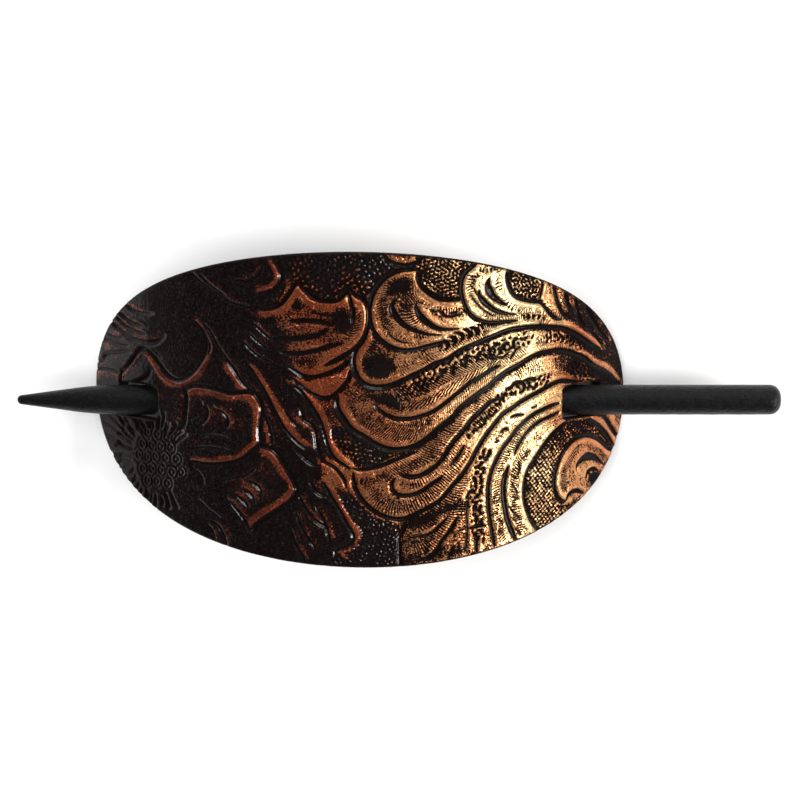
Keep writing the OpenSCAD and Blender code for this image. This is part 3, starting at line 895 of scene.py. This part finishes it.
def spread_points(spacing, seed):
    """Points over the raster, as close together as the spacing raster asks, by error diffusion."""
    share = np.minimum(CELL**2 / (0.866 * spacing**2), 0.5)
    rng = np.random.default_rng(seed)
    rows, columns = share.shape
    carried = (share + (rng.random(share.shape) - 0.5) * 0.1 * share).tolist()
    places = []
    for r in range(rows):
        now = carried[r]
        below = carried[r + 1] if r + 1 < rows else [0.0] * columns
        forward = r % 2 == 0
        order = range(1, columns - 1) if forward else range(columns - 2, 0, -1)
        step = 1 if forward else -1
        for c in order:
            value = now[c]
            if value > 0.5:
                places.append((c, r))
                value -= 1.0
            now[c + step] += value * AHEAD
            below[c - step] += value * BELOW_BEHIND
            below[c] += value * BELOW
            below[c + step] += value * BELOW_AHEAD
    places = np.array(places, float)
    return np.c_[s_line[places[:, 0].astype(int)], y_line[places[:, 1].astype(int)]]


def clear_of(points, rings, gap):
    """The points inside the first ring and outside the others, at least a gap away from each."""
    along, across = in_turned_axes(points[:, 0], points[:, 1], OVAL_TURN)
    inset = rings[0][1] + gap
    keep = (along / (HALF_LENGTH - inset)) ** 2 + (across / (HALF_WIDTH - inset)) ** 2 < 1
    for ring, ring_inset in rings[1:]:
        keep &= beyond_slot(points, ring, ring_inset) > gap
    return points[keep]


def triangulated(rings, points):
    """Triangles between the outer ring and the slots' rings. The rings' points come first."""
    flat = np.vstack([ring for ring, _ in rings] + [points])
    edges, start = [], 0
    for ring, _ in rings:
        count = len(ring)
        edges += [(start + i, start + (i + 1) % count) for i in range(count)]
        start += count
    made = delaunay_2d_cdt([Vector(p) for p in flat], edges, [], 1, 1e-6, True)
    if len(made[0]) != len(flat):
        raise ValueError("the leather's rings cross or its points double up")
    own = np.array([ids[0] for ids in made[3]])
    triangles = own[np.array(made[2])]
    middle = flat[triangles].mean(1)
    for ring, ring_inset in rings[1:]:
        outside = beyond_slot(middle, ring, ring_inset) > -0.02
        triangles, middle = triangles[outside], middle[outside]
    return flat, triangles


# Layers of the face that the material reads from the mesh
FACE_LAYERS = ("share", "tone_and_light", "gloss", "hatch", "phase", "along", "across", "edge")
# The flat leather's size in its texture map, and where its parts lie there
MAP_SCALE = 0.0061
MAP_FACE = 0.77
MAP_BACK = 0.31
MAP_RIM = (0.045, 0.075)
MAP_SLOTS = (0.005, 0.035)


def rings_at(outer, slot):
    """The outer ring and the two slots' rings for a row of each edge table, each with its inset."""
    radius = OUTER_RADIUS - THICKNESS * slot[1]
    slots = [(slot_ring(side, slot[0], radius), slot[0]) for side in (-1, 1)]
    return [(oval_ring(outer[0]), outer[0])] + slots


def leather_mesh(layers):
    """The whole leather as one closed mesh: tooled face, dyed edges and back."""
    relief = layers["relief"]
    gy, gs = np.gradient(blurred(relief, 0.1), CELL)
    bend = np.abs(relief - blurred(relief, 0.25))
    need = smoothstep(0.005, 0.05, blurred(bend, 0.3))
    spacing = FACE_SPACING_PLAIN + (FACE_SPACING_FINE - FACE_SPACING_PLAIN) * need
    face_rings = rings_at(OUTER_EDGE[0], SLOT_EDGE[0])
    points = clear_of(spread_points(spacing, FACE_SEED), face_rings, 0.2)
    face, face_triangles = triangulated(face_rings, points)
    back_rings = rings_at(OUTER_EDGE[-1], SLOT_EDGE[-1])
    step = BACK_SPACING
    grid = np.array([(s + step / 2 * (row % 2), y) for row, y in enumerate(np.arange(-36, 36, step * 0.87))
                     for s in np.arange(-75, 75, step)])
    back, back_triangles = triangulated(back_rings, clear_of(grid, back_rings, 0.5))
    back_triangles = back_triangles[:, ::-1]

    angle = face[:, 0] / BEND_RADIUS
    slope_s = sampled(gs, face[:, 0], face[:, 1])
    slope_y = sampled(gy, face[:, 0], face[:, 1])
    sine, cosine = np.sin(angle), np.cos(angle)
    normals = np.c_[sine - slope_s * cosine, -slope_y, cosine + slope_s * sine]
    normals /= np.linalg.norm(normals, axis=1)[:, None]

    height = sampled(relief, face[:, 0], face[:, 1])
    vertices = [on_arch(face[:, 0], face[:, 1], OUTER_RADIUS + height),
                on_arch(back[:, 0], back[:, 1], np.full(len(back), INNER_RADIUS))]
    faces = [face_triangles, back_triangles + len(face)]
    maps = [np.stack([0.5 + face[:, 0] * MAP_SCALE, MAP_FACE + face[:, 1] * MAP_SCALE], -1)[face_triangles],
            np.stack([0.5 - back[:, 0] * MAP_SCALE, MAP_BACK + back[:, 1] * MAP_SCALE], -1)[back_triangles]]
    count = len(face) + len(back)

    ring_starts = np.cumsum([0] + [len(ring) for ring, _ in face_rings])
    for index, (first_ring, _) in enumerate(face_rings):
        rows = OUTER_EDGE if index == 0 else SLOT_EDGE
        size = len(first_ring)
        low, high = MAP_RIM if index == 0 else MAP_SLOTS
        start, width = ((0.01, 0.98), (0.01, 0.46), (0.52, 0.46))[index]
        above = ring_starts[index] + np.arange(size)
        for level, (inset, depth, share) in enumerate(rows[1:], 1):
            if level == len(rows) - 1:
                below = len(face) + ring_starts[index] + np.arange(size)
            else:
                radius = OUTER_RADIUS - THICKNESS * depth
                ring = oval_ring(inset) if index == 0 else slot_ring(2 * index - 3, inset, radius)
                lift = sampled(relief, ring[:, 0], ring[:, 1]) * share
                vertices.append(on_arch(ring[:, 0], ring[:, 1], radius + lift))
                below = count + np.arange(size)
                count += size
            a, b, c, d = above, np.roll(above, -1), below, np.roll(below, -1)
            u0 = start + width * np.arange(size) / size
            u1 = u0 + width / size
            v0, v1 = (high + (low - high) * k / (len(rows) - 1) for k in (level - 1, level))
            corner = {"a": np.c_[u0, u0 * 0 + v0], "b": np.c_[u1, u1 * 0 + v0],
                      "c": np.c_[u0, u0 * 0 + v1], "d": np.c_[u1, u1 * 0 + v1]}
            walls = np.r_[np.c_[a, c, d], np.c_[a, d, b]]
            flat = np.concatenate([np.stack([corner[k] for k in keys], 1) for keys in ("acd", "adb")])
            inward = slice(None, None, 1 if index == 0 else -1)
            faces.append(walls[:, inward])
            maps.append(flat[:, inward])
            above = below
    own_normals = np.zeros((count, 3))
    own_normals[ring_starts[-1]:len(face)] = normals[ring_starts[-1]:]
    values = {name: np.zeros(count) for name in FACE_LAYERS}
    for name in FACE_LAYERS:
        values[name][:len(face)] = sampled(layers[name], face[:, 0], face[:, 1])
    values["part"] = np.ones(count)
    values["part"][:len(face)] = 0
    values["part"][len(face):len(face) + len(back)] = 2
    return np.vstack(vertices), np.vstack(faces), np.concatenate(maps), own_normals, values


def linked(name, data):
    """A new object in the scene."""
    made = bpy.data.objects.new(name, data)
    bpy.context.scene.collection.objects.link(made)
    return made


def mesh_object(name, vertices, faces, material):
    mesh = bpy.data.meshes.new(name)
    mesh.from_pydata(vertices.tolist(), [], faces)
    mesh.polygons.foreach_set("use_smooth", [True] * len(mesh.polygons))
    mesh.materials.append(material)
    return linked(name, mesh)


class Nodes:
    """The nodes of one material or sky, made by short calls that give back output sockets."""

    def __init__(self, tree):
        self.tree = tree

    def feed(self, node, inputs):
        """Feeds a node's sockets from others, or sets them."""
        for key, value in inputs.items():
            if isinstance(value, bpy.types.NodeSocket):
                self.tree.links.new(value, node.inputs[key])
            else:
                node.inputs[key].default_value = value

    def add(self, kind, output, inputs=None, **settings):
        node = self.tree.nodes.new(kind)
        for key, value in settings.items():
            setattr(node, key, value)
        self.feed(node, inputs or {})
        return node.outputs[output]

    def math(self, operation, *values, clamp=False):
        return self.add("ShaderNodeMath", 0, dict(enumerate(values)), operation=operation, use_clamp=clamp)

    def total(self, first, *others):
        for other in others:
            first = self.math("ADD", first, other)
        return first

    def product(self, first, second):
        return self.math("MULTIPLY", first, second)

    def remap(self, value, low, high, to_low, to_high):
        return self.add("ShaderNodeMapRange", "Result", {"Value": value, "From Min": low, "From Max": high,
                                                         "To Min": to_low, "To Max": to_high})

    def mix(self, factor, first, second):
        """A colour between two others."""
        mixed = self.add("ShaderNodeMix", 2, {"Factor": factor}, data_type="RGBA")
        sockets = [key for key, socket in enumerate(mixed.node.inputs) if socket.type == "RGBA"]
        colours = [(*value, 1) if isinstance(value, tuple) else value for value in (first, second)]
        self.feed(mixed.node, dict(zip(sockets, colours)))
        return mixed

    def ramp(self, factor, stops):
        colour = self.add("ShaderNodeValToRGB", "Color", {"Fac": factor})
        elements = colour.node.color_ramp.elements
        while len(elements) < len(stops):
            elements.new(0.5)
        for element, (position, value) in zip(elements, stops):
            element.position = position
            element.color = (*value, 1)
        return colour

    def mesh_value(self, name):
        return self.add("ShaderNodeAttribute", "Fac", attribute_name=name)

    def place(self, kind="Object"):
        return self.add("ShaderNodeTexCoord", kind)

    def noise(self, place, scale, detail=3.0, roughness=0.6):
        return self.add("ShaderNodeTexNoise", "Fac", {"Vector": place, "Scale": scale, "Detail": detail,
                                                      "Roughness": roughness})

    def bump(self, height, distance):
        return self.add("ShaderNodeBump", "Normal", {"Height": height, "Strength": 1.0, "Distance": distance})


def new_material(name):
    material = bpy.data.materials.new(name)
    material.use_nodes = True
    return material, Nodes(material.node_tree), material.node_tree.nodes["Principled BSDF"]


# Colours of the copper from dark red to pale gold, by tone. The paler end stands in partly for the key
# light's highlight and the darker end for shade: painted light.
COPPER_TONES = [
    (0.0, (0.16, 0.035, 0.02)),
    (0.25, (0.46, 0.10, 0.04)),
    (0.5, (0.60, 0.235, 0.095)),
    (0.75, (0.69, 0.36, 0.165)),
    (1.0, (0.70, 0.475, 0.24)),
]
DYE = (0.0012, 0.0009, 0.0009)
DYE_BROWN = (0.007, 0.003, 0.0024)
RAW_EDGE = (0.02, 0.014, 0.012)
SUEDE = (0.055, 0.034, 0.024)
METAL_SHARE = 0.9
# Sizes of the noises, in squares to a metre, and where most of a noise's values lie
SPECKS = 2600
MOTTLE = 260
GRAINS = 1500
USUAL = (0.3, 0.7)
LEATHER_BUMP = 0.00004


def leather_material():
    """Black dyed leather with copper rubbed over what stands proud."""
    material, nodes, shader = new_material("tooled_leather")
    place = nodes.place()
    share, tone_and_light, gloss, hatch, phase, along, across, edge = map(nodes.mesh_value, FACE_LAYERS)
    part = nodes.mesh_value("part")
    fine = nodes.noise(place, SPECKS)
    coarse = nodes.noise(place, MOTTLE, roughness=0.5)

    def flow_noise(length, width):
        flow = {"X": nodes.math("DIVIDE", along, length), "Y": nodes.math("DIVIDE", across, width)}
        return nodes.noise(nodes.add("ShaderNodeCombineXYZ", "Vector", flow), 1.0, 1)

    hair = flow_noise(0.42, 2.4)
    vein = flow_noise(3.5, 0.4)
    wave = nodes.math("COSINE", nodes.product(phase, 2 * math.pi))
    lined = nodes.product(nodes.math("MULTIPLY_ADD", wave, -0.5, 0.5), hatch)

    # Copper stays where its share beats a texture of specks, hairs and veins
    texture = nodes.total(nodes.math("MULTIPLY_ADD", fine, 2.8, -1.8), hair, nodes.product(vein, 0.8),
                          nodes.remap(coarse, *USUAL, 0.2, -0.2), nodes.remap(lined, 0, 1, -0.1, 1.0))
    needed = nodes.math("SUBTRACT", 0.15, nodes.product(hatch, 0.15))
    margin = nodes.math("SUBTRACT", nodes.math("SUBTRACT", share, texture), needed)
    worn_edge = nodes.total(edge, nodes.remap(fine, *USUAL, 0.07, -0.07))
    open_face = nodes.remap(worn_edge, -0.02, 0.14, 0, 1)
    # The copper mask follows the share, which is partly painted shade.
    rub = nodes.product(nodes.math("MULTIPLY_ADD", margin, 3.5, 0.5, clamp=True), open_face)

    # The copper's colour follows the tone layer, so its paler and darker places are partly painted light.
    copper = nodes.ramp(nodes.total(tone_and_light, nodes.remap(coarse, *USUAL, -0.06, 0.06)), COPPER_TONES)
    dye = nodes.mix(nodes.remap(fine, 0.35, 0.7, 0, 1), DYE, DYE_BROWN)
    cut_edge = nodes.mix(coarse, DYE, RAW_EDGE)
    suede = nodes.mix(fine, RAW_EDGE, SUEDE)
    on_back = nodes.math("GREATER_THAN", part, 1.5)
    off_face = nodes.math("GREATER_THAN", part, 0.5)
    on_face = nodes.math("SUBTRACT", 1.0, off_face)
    colour = nodes.mix(off_face, nodes.mix(rub, dye, copper), nodes.mix(on_back, cut_edge, suede))

    coppered = nodes.product(rub, on_face)
    in_groove = nodes.product(nodes.math("SUBTRACT", 1.0, open_face), 0.15)
    glossy = nodes.product(nodes.math("MAXIMUM", gloss, in_groove), on_face)
    shine = nodes.math("MAXIMUM", glossy, coppered)
    rough = nodes.total(nodes.remap(fine, *USUAL, 0.24, 0.36), nodes.remap(shine, 0, 1, 0.3, 0.0),
                        nodes.product(on_back, 0.2))
    grains = nodes.remap(nodes.noise(place, GRAINS, 1), 0.58, 0.7, 0, 1)
    height = nodes.math("SUBTRACT", nodes.total(fine, nodes.product(hair, 0.6)), lined)
    height = nodes.total(height, nodes.product(grains, 4.5))
    nodes.feed(shader, {"Base Color": colour, "Metallic": nodes.product(coppered, METAL_SHARE),
                        "Roughness": rough, "Specular IOR Level": nodes.remap(glossy, 0, 1, 0.04, 0.12),
                        "Coat Weight": nodes.remap(glossy, 0, 1, 0.0, 0.85), "Coat Roughness": 0.12,
                        "Normal": nodes.bump(height, LEATHER_BUMP)})
    return material


PAINT = ((0.002, 0.002, 0.0023), (0.006, 0.0056, 0.006))
PAINT_LUMPS = 1700
PAINT_STREAKS = 2400
PAINT_BUMP = 0.00025


def paint_material():
    """Satin black paint, brushed on a little unevenly."""
    material, nodes, shader = new_material("painted_wood")
    stretched = nodes.add("ShaderNodeMapping", "Vector", {"Vector": nodes.place(), "Scale": (0.7, 1, 1)})
    lumps = nodes.noise(stretched, PAINT_LUMPS)
    streaks = nodes.noise(stretched, PAINT_STREAKS, 2, 0.5)
    nodes.feed(shader, {"Base Color": nodes.mix(nodes.remap(lumps, *USUAL, 0, 1), *PAINT),
                        "Roughness": nodes.remap(streaks, *USUAL, 0.3, 0.45), "Specular IOR Level": 0.22,
                        "Normal": nodes.bump(lumps, PAINT_BUMP)})
    return material


FLOOR_GREYS = ((0.86, 0.86, 0.86), (0.9, 0.9, 0.9))
FLOOR_MOTTLE = 9


def floor_material():
    material, nodes, shader = new_material("pale_floor")
    mottle = nodes.noise(nodes.place(), FLOOR_MOTTLE, roughness=0.5)
    nodes.feed(shader, {"Base Color": nodes.mix(nodes.remap(mottle, *USUAL, 0, 1), *FLOOR_GREYS),
                        "Roughness": 0.8})
    return material


# Pieces
vertices, faces, maps, own_normals, values = leather_mesh(tooled_layers())
leather = mesh_object("tooled_oval", vertices, faces.tolist(), leather_material())
for name, numbers in values.items():
    layer = leather.data.attributes.new(name, "FLOAT", "POINT")
    layer.data.foreach_set("value", numbers.astype(np.float32))
flat_map = leather.data.uv_layers.new(name="OFBake")
flat_map.data.foreach_set("uv", maps.astype(np.float32).ravel())
leather.data.normals_split_custom_set_from_vertices(own_normals.tolist())
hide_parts("leather_oval")
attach(leather, "leather")

# Stick: rings along its length, with a little unevenness in the paint
STICK_SIDES = 56
STICK_STEP = 0.5
POINT_LENGTH = 19.0
POINT_SHOULDER = 1.6
TIP_RADIUS = 1.1
END_RADIUS = 2.6
PAINT_LUMP = 0.05


def stick_radius(x):
    """Radius at x millimetres from the tip: round tip, taper with a soft shoulder, rounded blunt end."""
    length = STICK_END - STICK_START
    taper = TIP_RADIUS + (STICK_RADIUS - TIP_RADIUS) * (x - TIP_RADIUS) / (POINT_LENGTH - TIP_RADIUS)
    over = (taper - STICK_RADIUS) / POINT_SHOULDER
    soft = STICK_RADIUS + POINT_SHOULDER * np.where(over < -0.5, over, -0.5 * np.clip(0.5 - over, 0, 1) ** 2)
    soft = np.minimum(soft, STICK_RADIUS)
    dome = np.sqrt(np.maximum(TIP_RADIUS**2 - np.maximum(TIP_RADIUS - x, 0) ** 2, 0))
    radius = np.where(x < TIP_RADIUS, dome, soft)
    past = np.maximum(x - (length - END_RADIUS), 0)
    end = STICK_RADIUS - END_RADIUS + np.sqrt(np.maximum(END_RADIUS**2 - past**2, 0))
    return np.where(past > 0, end, radius)


def stick_mesh():
    length = STICK_END - STICK_START
    tip = TIP_RADIUS * (1 - np.cos(np.linspace(0.12, math.pi / 2, 6)))
    blunt = length - END_RADIUS + END_RADIUS * np.sin(np.linspace(0, math.pi / 2, 10))
    middle = np.arange(TIP_RADIUS + STICK_STEP, length - END_RADIUS - STICK_STEP / 2, STICK_STEP)
    stations = np.r_[tip, middle, blunt]
    turn = np.arange(STICK_SIDES) * 2 * math.pi / STICK_SIDES
    x, t = np.meshgrid(stations, turn, indexing="ij")
    radius = stick_radius(x)
    grids = [random_grid(STICK_SEED + k, 64) for k in range(2)]
    around = t / (2 * math.pi)
    coarse = value_noise(grids[0], x / 3.0, around * 8) - 0.5
    fine = value_noise(grids[1], x / 1.1, around * 16) - 0.5
    seam = np.minimum(1, np.minimum(around, 1 - around) * 16)
    radius = radius + PAINT_LUMP * (1.2 * coarse + 0.8 * fine) * seam * np.minimum(1, radius / STICK_RADIUS)
    ring = np.stack([STICK_START + x, STICK_Y + radius * np.cos(t), STICK_Z + radius * np.sin(t)], -1)
    ends = [(STICK_START, STICK_Y, STICK_Z), (STICK_END, STICK_Y, STICK_Z)]
    vertices = np.vstack([ring.reshape(-1, 3), ends]) * MM
    rows, sides = x.shape
    index = np.arange(rows * sides).reshape(rows, sides)
    a, b = index[:-1], np.roll(index[:-1], -1, 1)
    c, d = index[1:], np.roll(index[1:], -1, 1)
    faces = [list(q) for q in np.stack([a, b, d, c], -1).reshape(-1, 4).tolist()]
    first, last = rows * sides, rows * sides + 1
    faces += [[int(index[0, (i + 1) % sides]), int(index[0, i]), first] for i in range(sides)]
    faces += [[int(index[-1, i]), int(index[-1, (i + 1) % sides]), last] for i in range(sides)]
    return vertices, faces


stick = mesh_object("painted_stick", *stick_mesh(), paint_material())
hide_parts("stick")
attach(stick, "stick")

# Floor
FLOOR_HALF = 3.0
corners = np.array([(-1, -1, 0), (1, -1, 0), (1, 1, 0), (-1, 1, 0)]) * FLOOR_HALF
floor = mesh_object("floor", corners, [(0, 1, 2, 3)], floor_material())

# Camera: above the object and leaning towards +Y
CAMERA_DISTANCE = 0.7
CAMERA_LEAN = 0.146
SENSOR = 36.0
NEAR_LIMIT = 0.01
MM_PER_PIXEL = 0.2333
IMAGE_SIDE = 800
OVAL_MIDDLE_PIXEL = (359.9, 396.5)
AIM_RADIUS = BEND_RADIUS - 22.0


def add_camera():
    data = bpy.data.cameras.new("camera")
    camera = linked("camera", data)
    data.sensor_width = SENSOR
    data.lens = SENSOR * CAMERA_DISTANCE / (IMAGE_SIDE * MM_PER_PIXEL * MM)
    towards = Vector((0, math.sin(CAMERA_LEAN), math.cos(CAMERA_LEAN)))
    aim = Vector((OVAL_X * MM, 0, (AIM_RADIUS - FLOOR_LEVEL) * MM))
    camera.location = aim + CAMERA_DISTANCE * towards
    camera.rotation_euler = (-CAMERA_LEAN, 0, 0)
    data.shift_x = (IMAGE_SIDE / 2 - OVAL_MIDDLE_PIXEL[0]) / IMAGE_SIDE
    data.shift_y = (OVAL_MIDDLE_PIXEL[1] - IMAGE_SIDE / 2) / IMAGE_SIDE
    data.clip_start = NEAR_LIMIT
    bpy.context.scene.camera = camera


# Lights: name, direction, distance, length, width, power, colour and whether it shows in the gloss
LIGHTS = [
    ("key", (0.82, -0.12, 0.57), 1.2, 0.4, 0.45, 12.5, (1.0, 0.97, 0.93), True),
    ("top", (0.25, 0.75, 0.7), 1.0, 0.4, 0.3, 2.5, (1, 1, 1), True),
    ("fill", (-0.35, 0.1, 0.93), 1.2, 1.2, 1.2, 20.0, (1, 1, 1), False),
]
LIGHTS_AIM = Vector((0, 0, 0.02))
# The studio round the object is dim overhead and brighter towards the front and the back
SKY_COLOUR = (0.92, 0.94, 1.0, 1)
SKY_DIM = 0.03
SKY_RISE = 0.16


def add_light(name, direction, distance, size, size_y, power, colour, glossy):
    data = bpy.data.lights.new(name, "AREA")
    data.shape = "RECTANGLE"
    data.size = size
    data.size_y = size_y
    data.energy = power
    data.color = colour
    light = linked(name, data)
    light.visible_glossy = glossy
    away = Vector(direction).normalized()
    light.location = LIGHTS_AIM + away * distance
    light.rotation_euler = away.to_track_quat("Z", "Y").to_euler()


def add_sky():
    world = bpy.data.worlds.new("studio")
    world.use_nodes = True
    sky = Nodes(world.node_tree)
    across = sky.add("ShaderNodeSeparateXYZ", "Y", {"Vector": sky.place("Generated")})
    rise = sky.math("POWER", sky.math("ABSOLUTE", across), 2.0)
    brightness = sky.math("MULTIPLY_ADD", rise, SKY_RISE, SKY_DIM)
    sky.feed(world.node_tree.nodes["Background"], {"Strength": brightness, "Color": SKY_COLOUR})
    bpy.context.scene.world = world


add_camera()
for light_row in LIGHTS:
    add_light(*light_row)
add_sky()
bpy.context.scene.view_settings.view_transform = "Standard"
